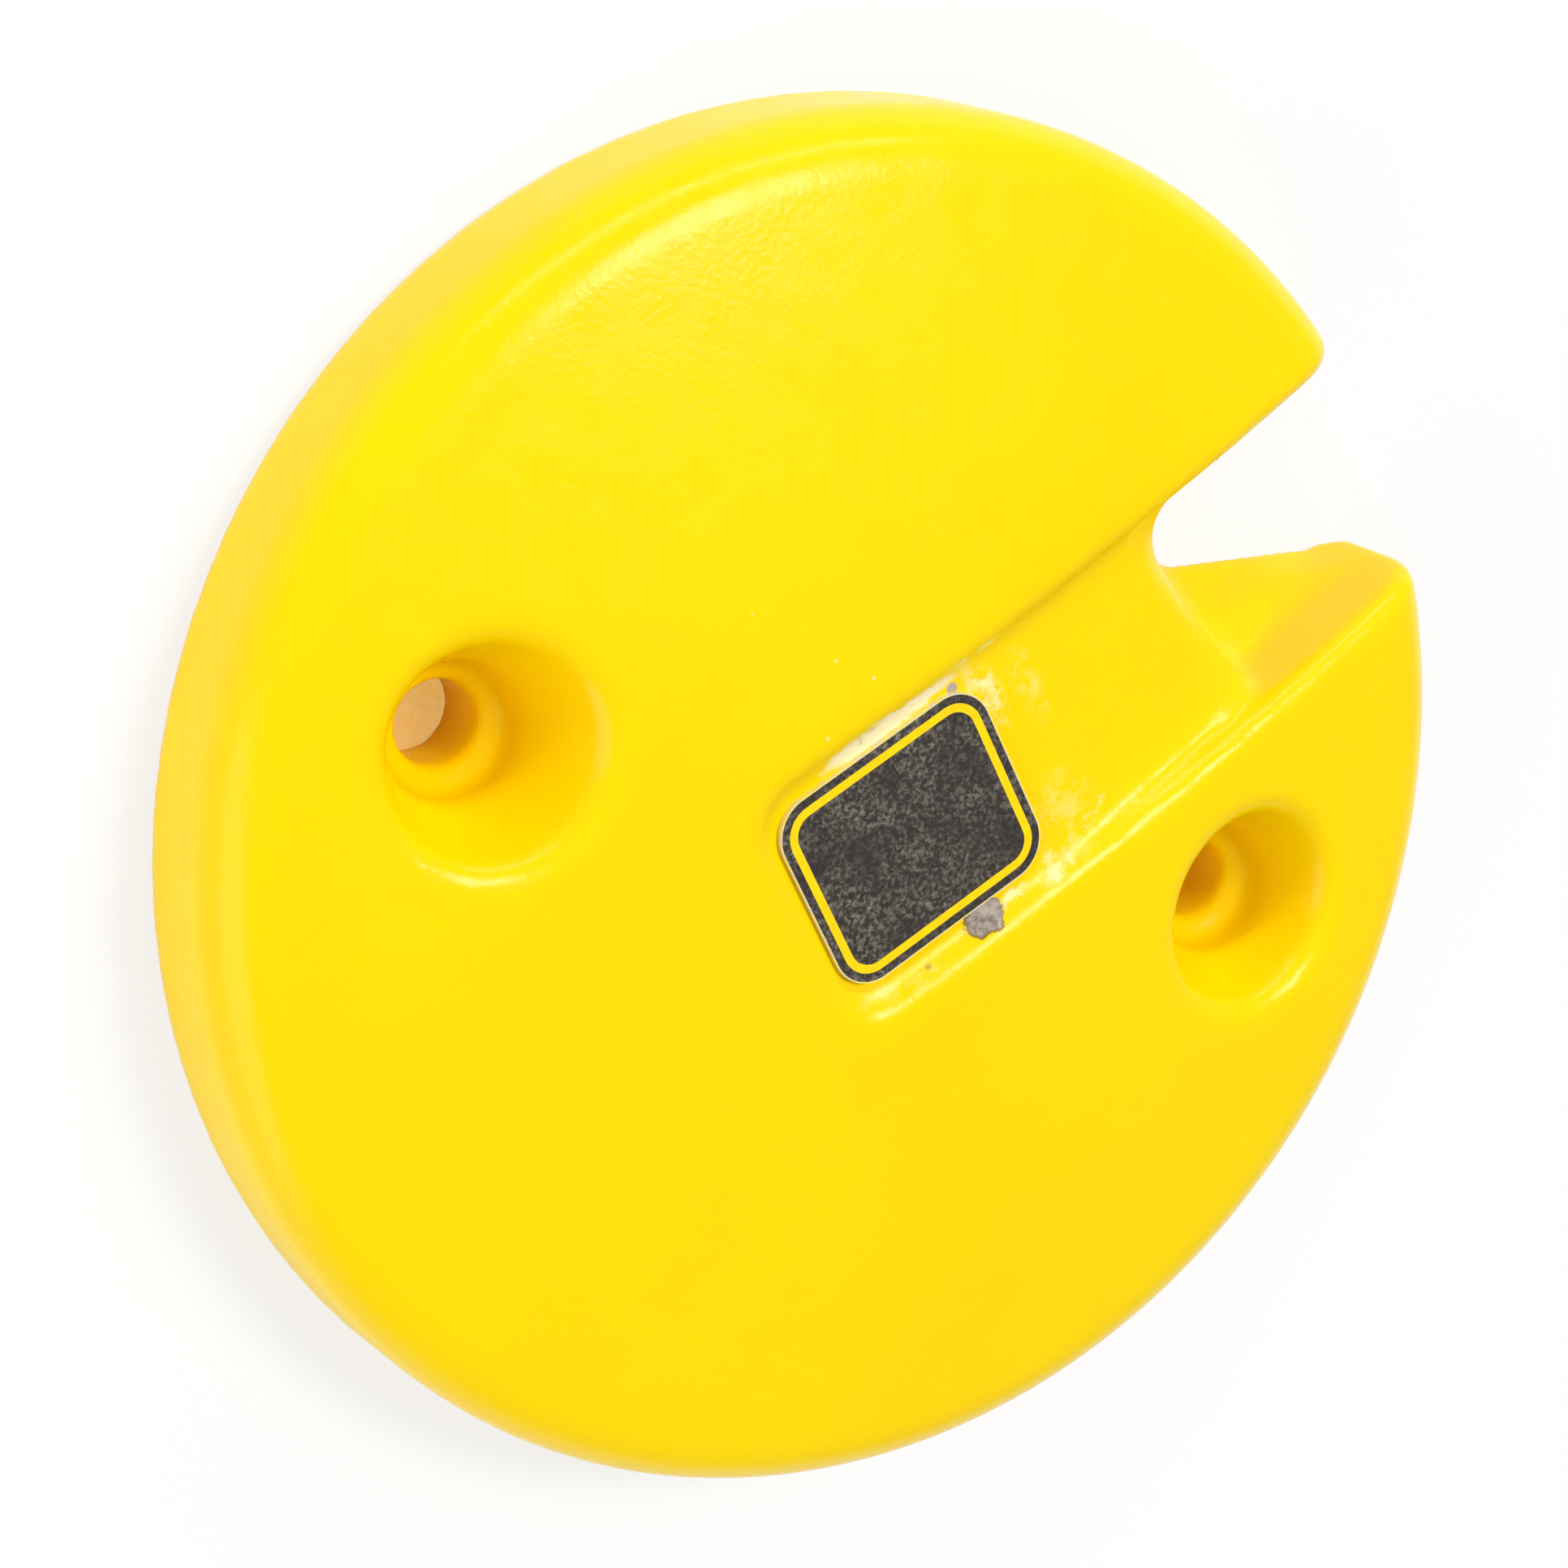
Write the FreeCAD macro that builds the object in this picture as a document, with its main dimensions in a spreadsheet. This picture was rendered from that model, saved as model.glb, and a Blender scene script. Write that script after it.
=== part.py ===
import FreeCAD, Part
import math
import os
import Sketcher

# Rear wheel weight: one cast disc with a crowned face, a channel from the middle of the face
# to a valve-stem notch in the rim, two deep bolt pockets, and a thin badge plate in the channel.
# Origin at the centre of the flat back, +Z out of the face, +X along the channel to the notch.

doc = FreeCAD.newDocument("RearWheelWeight")

# Driving sizes, millimetres and degrees
sheet = doc.addObject("Spreadsheet::Sheet", "Sizes")
SIZES = [
    ("rim_radius", 143, "radius of the flat back"),
    ("face_height", 48.3, "thickness at the middle of the face"),
    ("crown_radius", 714, "radius of the crowned face"),
    ("side_draft", 1.5, "lean of the outer side, degrees"),
    ("rim_round", 14, "rounding between side and face"),
    ("channel_width", 52, "channel from wall to wall"),
    ("channel_depth", 4.5, "depth of the flat floor under the top of the crown"),
    ("channel_left", 28, "closed end of the channel, from the middle"),
    ("channel_corner", 10, "plan rounding of the closed end"),
    ("floor_bend", 30, "where the floor begins to fall, from the middle"),
    ("floor_fall", 7.3, "slope of the falling floor, degrees"),
    ("foot_round", 0.8, "rounding at the foot of the falling channel's walls"),
    ("edge_break", 2.6, "bevel along the upper edges of channel and notch"),
    ("notch_depth", 59, "inner wall of the notch on the channel's middle line, in from the rim"),
    ("notch_skew", 13.6, "slant of that wall in plan, degrees"),
    ("notch_roll", 9, "rounding where the floor rolls down into the notch"),
    ("notch_step", 14, "depth of the straight notch walls under the floor"),
    ("back_run", 12, "how far the ramp runs out from the inner wall, on the middle line"),
    ("back_inner_width", 11.6, "width of the notch at the back, inner end"),
    ("back_mouth", 9, "stretch at the rim where the notch has its full width at the back"),
    ("notch_corner", 7.5, "rounding of the two inner corners of the notch"),
    ("bolt_circle", 188, "diameter of the bolt circle"),
    ("bolt_turn", 45, "turn of the bolt row from the channel, degrees"),
    ("bolt_hole", 17, "diameter of the through hole"),
    ("ledge_height", 18, "height of the ledge that takes the bolt head"),
    ("pocket_bore", 27.8, "diameter of the straight part of the pocket"),
    ("pocket_depth", 5.7, "length of that straight part over the ledge"),
    ("mouth_width", 45, "diameter of the flared mouth at the mouth drop"),
    ("mouth_drop", 6.3, "how far under the crown's top the mouth width is measured"),
    ("ledge_break", 2, "bevel at the foot of the pocket"),
    ("throat_round", 5, "rounding where the pocket begins to flare"),
    ("mouth_break", 2.2, "bevel where the mouth meets the face"),
    ("plate_length", 52, "badge plate along the channel"),
    ("plate_width", 44, "badge plate across the channel"),
    ("plate_thickness", 1.5, "thickness of the badge plate"),
    ("plate_corner", 8.5, "corner radius of the badge plate"),
    ("plate_edge", 0.3, "bevel of the plate's upper edge"),
    ("plate_shift", 0.5, "badge plate's centre along the channel"),
    ("plate_rise", 0.6, "badge plate's centre across the channel"),
    ("cut_margin", 20, "how far cutting profiles run past the casting"),
]
sheet.set("A1", "size")
sheet.set("B1", "value")
sheet.set("C1", "meaning")
for row, (name, value, meaning) in enumerate(SIZES, start=2):
    sheet.set("A%d" % row, name)
    sheet.set("B%d" % row, str(value))
    sheet.set("C%d" % row, meaning)
    sheet.setAlias("B%d" % row, name)
doc.recompute()


def size(expression):
    """The present value of an expression in the sheet's names, used to draw a sketch near its solution."""
    value = sheet.evalExpression(expression)
    return float(getattr(value, "Value", value))


def plane(body, role):
    return next(o for o in body.Origin.OriginFeatures if o.Role == role)


def sketch_on(body, name, role, base=("0", "0", "0"), turn=("0", (0, 1, 0))):
    """A sketch on an origin plane, moved by base and turned about one axis of that plane."""
    sketch = body.newObject("Sketcher::SketchObject", name)
    sketch.AttachmentSupport = [(plane(body, role), "")]
    sketch.MapMode = "FlatFace"
    angle, axis = turn
    place = FreeCAD.Placement(
        FreeCAD.Vector(*[size(b) for b in base]), FreeCAD.Rotation(FreeCAD.Vector(*axis), size(angle))
    )
    sketch.AttachmentOffset = place
    for part, text in zip("xyz", base):
        if text != "0":
            sketch.setExpression("AttachmentOffset.Base." + part, "(%s) * 1 mm" % text)
    if angle != "0":
        sketch.setExpression("AttachmentOffset.Rotation.Angle", "(%s) * 1 deg" % angle)
    return sketch


def hold(sketch, kind, places, expression):
    """A constraint that keeps the value of an expression in the sheet's names."""
    value = size(expression)
    if kind == "Angle":
        value = math.radians(value)
    index = sketch.addConstraint(Sketcher.Constraint(kind, *places, value))
    sketch.setExpression("Constraints[%d]" % index, expression)


def pin_point(sketch, geometry, end, x, y):
    """Hold one end of a line at a place given in the sheet's names."""
    hold(sketch, "DistanceX", (-1, 1, geometry, end), x)
    hold(sketch, "DistanceY", (-1, 1, geometry, end), y)


def closed_outline(sketch, points):
    """A closed outline of straight lines through points given as pairs of expressions."""
    spots = [FreeCAD.Vector(size(x), size(y), 0) for x, y in points]
    count = len(spots)
    for i in range(count):
        sketch.addGeometry(Part.LineSegment(spots[i], spots[(i + 1) % count]), False)
    for i in range(count):
        sketch.addConstraint(Sketcher.Constraint("Coincident", i, 2, (i + 1) % count, 1))
    for i, (x, y) in enumerate(points):
        pin_point(sketch, i, 1, x, y)


def dress(body, kind, name, edges, expression):
    """A rounding (Fillet) or bevel (Chamfer) of the named size on edges of the last feature."""
    base = body.Tip
    feature = body.newObject("PartDesign::" + kind, name)
    feature.Base = (base, edges)
    measure = "Radius" if kind == "Fillet" else "Size"
    setattr(feature, measure, size(expression))
    feature.setExpression(measure, expression)
    doc.recompute()
    return feature


def edges_where(feature, test):
    """Names of a feature's edges that pass a test."""
    return ["Edge%d" % (i + 1) for i, edge in enumerate(feature.Shape.Edges) if test(edge)]


# The casting as far as its notch; the roundings that change width follow after it
rough = doc.addObject("PartDesign::Body", "rough_casting")

# Section of the disc: flat back, leaning side and the rounding that runs into the crown. The
# middle stands up to the full height and is crowned after it.
section = sketch_on(rough, "disc_section", "XZ_Plane")
rim = size("Sizes.rim_radius")
top = size("Sizes.face_height")
crown = size("Sizes.crown_radius")
rim_round = size("Sizes.rim_round")
lean = math.radians(size("Sizes.side_draft"))
up = FreeCAD.Vector(0, 0, 1)
# the rounding's centre lies its own radius inside both the side's line and the crown
crown_centre = FreeCAD.Vector(0, top - crown, 0)
side_normal = FreeCAD.Vector(math.cos(lean), math.sin(lean), 0)
side_up = FreeCAD.Vector(-math.sin(lean), math.cos(lean), 0)
along = rim * math.cos(lean) - rim_round - crown_centre.dot(side_normal)
across = math.sqrt((crown - rim_round) ** 2 - along ** 2)
round_centre = crown_centre + side_normal * along + side_up * across
side_end = round_centre + side_normal * rim_round
crown_start = crown_centre + (round_centre - crown_centre) * (crown / (crown - rim_round))
crown_angle = math.atan2(crown_start.y - crown_centre.y, crown_start.x)
section.addGeometry(Part.LineSegment(FreeCAD.Vector(0, 0, 0), FreeCAD.Vector(rim, 0, 0)), False)
section.addGeometry(Part.LineSegment(FreeCAD.Vector(rim, 0, 0), side_end), False)
section.addGeometry(Part.ArcOfCircle(Part.Circle(round_centre, up, rim_round), lean, crown_angle), False)
section.addGeometry(Part.LineSegment(crown_start, FreeCAD.Vector(crown_start.x, top, 0)), False)
section.addGeometry(Part.LineSegment(FreeCAD.Vector(crown_start.x, top, 0), FreeCAD.Vector(0, top, 0)), False)
section.addGeometry(Part.LineSegment(FreeCAD.Vector(0, top, 0), FreeCAD.Vector(0, 0, 0)), False)
section.addGeometry(Part.ArcOfCircle(Part.Circle(crown_centre, up, crown), crown_angle, math.pi / 2), True)
section.addConstraint(Sketcher.Constraint("Coincident", 0, 1, -1, 1))
section.addConstraint(Sketcher.Constraint("Coincident", 0, 2, 1, 1))
section.addConstraint(Sketcher.Constraint("Tangent", 1, 2, 2, 1))
section.addConstraint(Sketcher.Constraint("Tangent", 2, 2, 6, 1))
section.addConstraint(Sketcher.Constraint("Coincident", 2, 2, 3, 1))
section.addConstraint(Sketcher.Constraint("Coincident", 3, 2, 4, 1))
section.addConstraint(Sketcher.Constraint("Coincident", 4, 2, 5, 1))
section.addConstraint(Sketcher.Constraint("Coincident", 5, 2, 0, 1))
section.addConstraint(Sketcher.Constraint("Coincident", 6, 2, 4, 2))
section.addConstraint(Sketcher.Constraint("Horizontal", 0))
section.addConstraint(Sketcher.Constraint("Vertical", 3))
section.addConstraint(Sketcher.Constraint("Horizontal", 4))
section.addConstraint(Sketcher.Constraint("Vertical", 5))
section.addConstraint(Sketcher.Constraint("PointOnObject", 6, 3, -2))
hold(section, "DistanceX", (-1, 1, 0, 2), "Sizes.rim_radius")
hold(section, "DistanceY", (5, 2, 5, 1), "Sizes.face_height")
hold(section, "Radius", (6,), "Sizes.crown_radius")
hold(section, "Radius", (2,), "Sizes.rim_round")
hold(section, "Angle", (1,), "(90 + Sizes.side_draft) * 1 deg")
doc.recompute()
disc = rough.newObject("PartDesign::Revolution", "disc")
disc.Profile = section
disc.ReferenceAxis = (section, ["V_Axis"])
disc.Angle = 360
doc.recompute()

# The crown is a part of a large ball, turned about a level line through the ball's centre
FAR = "(Sizes.rim_radius + Sizes.cut_margin)"
HIGH = "(Sizes.face_height + Sizes.cut_margin)"
FLOOR = "(Sizes.face_height - Sizes.channel_depth)"
NOTCH_END = "(Sizes.rim_radius - Sizes.notch_depth)"
BACK_END = "(%s + Sizes.back_run)" % NOTCH_END
BACK_OPEN = "(Sizes.rim_radius - Sizes.back_mouth)"
BALL_HEIGHT = "Sizes.face_height - Sizes.crown_radius"
crown_side = sketch_on(rough, "crown_side", "XZ_Plane", base=("0", BALL_HEIGHT, "0"))
far = size(FAR)
over = size("Sizes.crown_radius + Sizes.cut_margin")
swing = math.asin(far / crown)
ball = Part.Circle(FreeCAD.Vector(0, 0, 0), up, crown)
right_end = FreeCAD.Vector(far, math.sqrt(crown ** 2 - far ** 2), 0)
left_end = FreeCAD.Vector(-far, right_end.y, 0)
crown_side.addGeometry(Part.ArcOfCircle(ball, math.pi / 2 - swing, math.pi / 2 + swing), False)
crown_side.addGeometry(Part.LineSegment(left_end, FreeCAD.Vector(-far, over, 0)), False)
crown_side.addGeometry(Part.LineSegment(FreeCAD.Vector(-far, over, 0), FreeCAD.Vector(far, over, 0)), False)
crown_side.addGeometry(Part.LineSegment(FreeCAD.Vector(far, over, 0), right_end), False)
crown_side.addConstraint(Sketcher.Constraint("Coincident", 0, 3, -1, 1))
crown_side.addConstraint(Sketcher.Constraint("Coincident", 0, 2, 1, 1))
crown_side.addConstraint(Sketcher.Constraint("Coincident", 1, 2, 2, 1))
crown_side.addConstraint(Sketcher.Constraint("Coincident", 2, 2, 3, 1))
crown_side.addConstraint(Sketcher.Constraint("Coincident", 3, 2, 0, 1))
crown_side.addConstraint(Sketcher.Constraint("Vertical", 1))
crown_side.addConstraint(Sketcher.Constraint("Vertical", 3))
hold(crown_side, "Radius", (0,), "Sizes.crown_radius")
pin_point(crown_side, 2, 1, "-" + FAR, "Sizes.crown_radius + Sizes.cut_margin")
pin_point(crown_side, 3, 1, FAR, "Sizes.crown_radius + Sizes.cut_margin")
doc.recompute()
crown_cut = rough.newObject("PartDesign::Groove", "crown_cut")
crown_cut.Profile = crown_side
crown_cut.ReferenceAxis = (crown_side, ["H_Axis"])
crown_cut.Midplane = True
crown_cut.Angle = math.degrees(2 * swing)
crown_cut.setExpression("Angle", "2 * asin(%s / Sizes.crown_radius)" % FAR)
doc.recompute()

# Channel across the face: flat under the plate with a rounded closed end, then falling to the rim
FALL = "tan(Sizes.floor_fall * 1 deg)"
HALF = "Sizes.channel_width / 2"
channel_plan = sketch_on(rough, "channel_plan", "XY_Plane", base=("0", "0", FLOOR))
left = -size("Sizes.channel_left")
bend = size("Sizes.floor_bend")
half = size(HALF)
bow = size("Sizes.channel_corner")
upper_bow = Part.Circle(FreeCAD.Vector(left + bow, half - bow, 0), up, bow)
lower_bow = Part.Circle(FreeCAD.Vector(left + bow, bow - half, 0), up, bow)
upper_end = FreeCAD.Vector(bend, half, 0)
lower_end = FreeCAD.Vector(bend, -half, 0)
upper_turn = FreeCAD.Vector(left + bow, half, 0)
lower_turn = FreeCAD.Vector(left + bow, -half, 0)
end_top = FreeCAD.Vector(left, half - bow, 0)
end_foot = FreeCAD.Vector(left, bow - half, 0)
channel_plan.addGeometry(Part.LineSegment(upper_end, upper_turn), False)
channel_plan.addGeometry(Part.ArcOfCircle(upper_bow, math.pi / 2, math.pi), False)
channel_plan.addGeometry(Part.LineSegment(end_top, end_foot), False)
channel_plan.addGeometry(Part.ArcOfCircle(lower_bow, math.pi, math.pi * 1.5), False)
channel_plan.addGeometry(Part.LineSegment(lower_turn, lower_end), False)
channel_plan.addGeometry(Part.LineSegment(lower_end, upper_end), False)
for i in range(4):
    channel_plan.addConstraint(Sketcher.Constraint("Tangent", i, 2, i + 1, 1))
channel_plan.addConstraint(Sketcher.Constraint("Coincident", 4, 2, 5, 1))
channel_plan.addConstraint(Sketcher.Constraint("Coincident", 5, 2, 0, 1))
channel_plan.addConstraint(Sketcher.Constraint("Horizontal", 0))
channel_plan.addConstraint(Sketcher.Constraint("Vertical", 2))
channel_plan.addConstraint(Sketcher.Constraint("Equal", 1, 3))
pin_point(channel_plan, 0, 1, "Sizes.floor_bend", HALF)
pin_point(channel_plan, 4, 2, "Sizes.floor_bend", "-" + HALF)
hold(channel_plan, "DistanceX", (-1, 1, 2, 1), "-Sizes.channel_left")
hold(channel_plan, "Radius", (1,), "Sizes.channel_corner")
channel_flat = rough.newObject("PartDesign::Pocket", "channel_flat")
channel_flat.Profile = channel_plan
channel_flat.Reversed = True
channel_flat.Length = size("%s - %s" % (HIGH, FLOOR))
channel_flat.setExpression("Length", "%s - %s" % (HIGH, FLOOR))
doc.recompute()
channel_side = sketch_on(rough, "channel_side", "XZ_Plane")
closed_outline(
    channel_side,
    [
        ("Sizes.floor_bend", HIGH),
        ("Sizes.floor_bend", FLOOR),
        (FAR, "%s - (%s - Sizes.floor_bend) * %s" % (FLOOR, FAR, FALL)),
        (FAR, HIGH),
    ],
)
channel_fall = rough.newObject("PartDesign::Pocket", "channel_fall")
channel_fall.Profile = channel_side
channel_fall.Midplane = True
channel_fall.Length = size("Sizes.channel_width")
channel_fall.setExpression("Length", "Sizes.channel_width")
doc.recompute()

# Upper part of the notch: the floor rolls over a rounding into a slanted wall, which ends in a
# step parallel to the floor. The profile is swept along a line that lies in the floor's own plane,
# so that the roll meets the floor smoothly although its wall is slanted.
SKEW = "tan(Sizes.notch_skew * 1 deg)"
ROLL_REACH = "Sizes.notch_roll * tan((90 - Sizes.floor_fall) / 2 * 1 deg)"
FLOOR_AT_END = "(%s - (%s - Sizes.floor_bend) * %s)" % (FLOOR, NOTCH_END, FALL)
roll_start_x = "%s - %s * cos(Sizes.floor_fall * 1 deg)" % (NOTCH_END, ROLL_REACH)
roll_start_z = "%s + %s * sin(Sizes.floor_fall * 1 deg)" % (FLOOR_AT_END, ROLL_REACH)
roll_end_z = "%s - %s" % (FLOOR_AT_END, ROLL_REACH)
notch_side = sketch_on(rough, "notch_side", "XZ_Plane")
outline = [
    (roll_start_x, HIGH),
    (roll_start_x, roll_start_z),
    (NOTCH_END, roll_end_z),
    (NOTCH_END, "%s - Sizes.notch_step" % FLOOR_AT_END),
    (FAR, "%s - Sizes.notch_step - (%s - %s) * %s" % (FLOOR_AT_END, FAR, NOTCH_END, FALL)),
    (FAR, HIGH),
]
spots = [FreeCAD.Vector(size(x), size(z), 0) for x, z in outline]
roll_centre = FreeCAD.Vector(spots[2].x - size("Sizes.notch_roll"), spots[2].y, 0)
fall_angle = math.radians(size("Sizes.floor_fall"))
notch_side.addGeometry(Part.LineSegment(spots[0], spots[1]), False)
roll_circle = Part.Circle(roll_centre, up, size("Sizes.notch_roll"))
notch_side.addGeometry(Part.ArcOfCircle(roll_circle, 0, math.pi / 2 - fall_angle), False)
notch_side.addGeometry(Part.LineSegment(spots[2], spots[3]), False)
notch_side.addGeometry(Part.LineSegment(spots[3], spots[4]), False)
notch_side.addGeometry(Part.LineSegment(spots[4], spots[5]), False)
notch_side.addGeometry(Part.LineSegment(spots[5], spots[0]), False)
notch_side.addConstraint(Sketcher.Constraint("Coincident", 0, 2, 1, 2))
notch_side.addConstraint(Sketcher.Constraint("Coincident", 1, 1, 2, 1))
for i in (2, 3, 4):
    notch_side.addConstraint(Sketcher.Constraint("Coincident", i, 2, i + 1, 1))
notch_side.addConstraint(Sketcher.Constraint("Coincident", 5, 2, 0, 1))
for geometry, corner_index in ((0, 0), (2, 2), (3, 3), (4, 4), (5, 5)):
    pin_point(notch_side, geometry, 1, *outline[corner_index])
pin_point(notch_side, 0, 2, *outline[1])
hold(notch_side, "Radius", (1,), "Sizes.notch_roll")
notch_upper = rough.newObject("PartDesign::Pocket", "notch_upper")
notch_upper.Profile = notch_side
notch_upper.Midplane = True
notch_upper.UseCustomVector = True
notch_upper.AlongSketchNormal = True
notch_upper.Direction = (-size(SKEW), 1, size(SKEW) * size(FALL))
notch_upper.Length = size("Sizes.channel_width")
notch_upper.setExpression("Direction.x", "-" + SKEW)
notch_upper.setExpression("Direction.z", "%s * %s" % (SKEW, FALL))
notch_upper.setExpression("Length", "Sizes.channel_width")
doc.recompute()

# Lower part of the notch: a twisted ramp from the step's outline to a narrower, wedge-shaped
# outline on the back
FALL_COS = "cos(Sizes.floor_fall * 1 deg)"
STEP_OPEN = "(%s - %s) / %s" % (BACK_OPEN, NOTCH_END, FALL_COS)
STEP_SHIFT = "%s * %s / %s" % (HALF, SKEW, FALL_COS)
step_outline = sketch_on(
    rough,
    "notch_step_outline",
    "XY_Plane",
    base=(NOTCH_END, "0", "%s - Sizes.notch_step" % FLOOR_AT_END),
    turn=("Sizes.floor_fall", (0, 1, 0)),
)
closed_outline(
    step_outline,
    [
        (STEP_SHIFT, "-" + HALF),
        (STEP_OPEN, "-" + HALF),
        (STEP_OPEN, HALF),
        ("-" + STEP_SHIFT, HALF),
    ],
)
back_outline = sketch_on(rough, "notch_back_outline", "XY_Plane")
closed_outline(
    back_outline,
    [
        (BACK_END, "-Sizes.back_inner_width / 2"),
        (BACK_OPEN, "-" + HALF),
        (BACK_OPEN, HALF),
        (BACK_END, "Sizes.back_inner_width / 2"),
    ],
)
doc.recompute()
notch_lower = rough.newObject("PartDesign::SubtractiveLoft", "notch_lower")
notch_lower.Profile = back_outline
notch_lower.Sections = [step_outline]
notch_lower.Ruled = True
doc.recompute()

# At the rim the notch has its full width from face to back
mouth_side = sketch_on(rough, "notch_mouth_side", "XZ_Plane")
closed_outline(
    mouth_side,
    [
        (BACK_OPEN, "-Sizes.cut_margin"),
        (FAR, "-Sizes.cut_margin"),
        (FAR, HIGH),
        (BACK_OPEN, HIGH),
    ],
)
notch_mouth = rough.newObject("PartDesign::Pocket", "notch_mouth")
notch_mouth.Profile = mouth_side
notch_mouth.Midplane = True
notch_mouth.Length = size("Sizes.channel_width")
notch_mouth.setExpression("Length", "Sizes.channel_width")
doc.recompute()

# The inner corners of the notch are rounded widely. Up along the roll that rounding narrows to the
# small one at the foot of the falling channel's walls.
half_width = size(HALF)


def middle_of(edge):
    return edge.valueAt((edge.FirstParameter + edge.LastParameter) / 2)


def on_channel_wall(edge):
    box = edge.BoundBox
    return abs(abs(middle_of(edge).y) - half_width) < 0.01 and box.YLength < 0.01


def on_ramp_corner(edge):
    """An inner corner of the notch's lower part, from the step down to the back."""
    back_corner = FreeCAD.Vector(size(BACK_END), size("Sizes.back_inner_width / 2"), 0)
    mirrored = FreeCAD.Vector(back_corner.x, -back_corner.y, 0)
    reach = min(v.Point.distanceToPoint(c) for v in edge.Vertexes for c in (back_corner, mirrored))
    return reach < 0.01 and edge.BoundBox.ZLength > 1


dress(rough, "Fillet", "ramp_corners", edges_where(notch_mouth, on_ramp_corner), "Sizes.notch_corner")


def floor_at(x):
    return size(FLOOR) - (x - size("Sizes.floor_bend")) * size(FALL)


def wall_round(edge):
    """The rounding at the two ends of an edge of the notch's walls, or None where it has none."""
    near = middle_of(edge).x
    if not on_channel_wall(edge) or near < size("Sizes.floor_bend"):
        return None
    box = edge.BoundBox
    if box.XLength < 0.01 and box.ZLength > 1 and near < size(BACK_END):
        return "Sizes.notch_corner", "Sizes.notch_corner"
    if abs(getattr(edge.Curve, "Radius", 0) - size("Sizes.notch_roll")) < 0.01:
        low_first = edge.valueAt(edge.FirstParameter).z < edge.valueAt(edge.LastParameter).z
        wide_to_small = ("Sizes.notch_corner", "Sizes.foot_round")
        return wide_to_small if low_first else wide_to_small[::-1]
    if abs(middle_of(edge).z - floor_at(near)) < 0.01:
        return "Sizes.foot_round", "Sizes.foot_round"
    return None


corners = doc.addObject("Part::Fillet", "notch_corners")
corners.Base = rough
listed = []
for number, edge in enumerate(rough.Shape.Edges, start=1):
    ends = wall_round(edge)
    if ends:
        listed.append((number, size(ends[0]), size(ends[1])))
corners.Edges = listed
doc.recompute()

# The finished casting: its upper edges, and the notch's upright corners at the rim, are one bevel
weight = doc.addObject("PartDesign::Body", "cast_weight")
weight.Label = "cast_weight"
weight.BaseFeature = corners
doc.recompute()


def face_height_at(x, y):
    """Height of the disc's outer skin, without cuts, over a point of the back."""
    r = math.hypot(x, y)
    if r <= crown_start.x:
        return crown_centre.y + math.sqrt(crown ** 2 - r ** 2)
    return round_centre.y + math.sqrt(max(rim_round ** 2 - (r - round_centre.x) ** 2, 0))


def on_upper_edge(edge):
    p = middle_of(edge)
    if abs(p.y) > half_width + 0.01 or p.x < -size("Sizes.channel_left") - 0.01:
        return False
    return abs(p.z - face_height_at(p.x, p.y)) < 0.05


def on_rim_corner(edge):
    p = middle_of(edge)
    tall = edge.BoundBox.ZLength
    return abs(abs(p.y) - half_width) < 0.01 and math.hypot(p.x, p.y) > side_end.x - 0.01 and tall > 1


upper_edges = edges_where(weight.Tip, lambda e: on_upper_edge(e) or on_rim_corner(e))
dress(weight, "Chamfer", "edge_bevel", upper_edges, "Sizes.edge_break")

# Bolt pockets: a through hole, a ledge for the bolt head and a flared mouth, cut once and turned
# about the disc's axis for the second
pocket_section = sketch_on(
    weight,
    "pocket_section",
    "XZ_Plane",
    base=(
        "Sizes.bolt_circle / 2 * cos(Sizes.bolt_turn * 1 deg)",
        "0",
        "Sizes.bolt_circle / 2 * sin(Sizes.bolt_turn * 1 deg)",
    ),
    turn=("-Sizes.bolt_turn", (0, 1, 0)),
)
BORE_TOP = "(Sizes.ledge_height + Sizes.pocket_depth)"
MOUTH_HEIGHT = "(Sizes.face_height - Sizes.mouth_drop)"
MOUTH_RATE = "(Sizes.mouth_width - Sizes.pocket_bore) / 2 / (%s - %s)" % (MOUTH_HEIGHT, BORE_TOP)
closed_outline(
    pocket_section,
    [
        ("0", "-Sizes.cut_margin"),
        ("Sizes.bolt_hole / 2", "-Sizes.cut_margin"),
        ("Sizes.bolt_hole / 2", "Sizes.ledge_height"),
        ("Sizes.pocket_bore / 2", "Sizes.ledge_height"),
        ("Sizes.pocket_bore / 2", BORE_TOP),
        ("Sizes.pocket_bore / 2 + (%s - %s) * %s" % (HIGH, BORE_TOP, MOUTH_RATE), HIGH),
        ("0", HIGH),
    ],
)
doc.recompute()
bolt_pocket = weight.newObject("PartDesign::Groove", "bolt_pocket")
bolt_pocket.Profile = pocket_section
bolt_pocket.ReferenceAxis = (pocket_section, ["V_Axis"])
bolt_pocket.Angle = 360
doc.recompute()
second_pocket = weight.newObject("PartDesign::PolarPattern", "bolt_pockets")
second_pocket.Originals = [bolt_pocket]
second_pocket.Axis = (plane(weight, "Z_Axis"), [""])
second_pocket.Angle = 360
second_pocket.Occurrences = 2
weight.Tip = second_pocket
doc.recompute()

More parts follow.
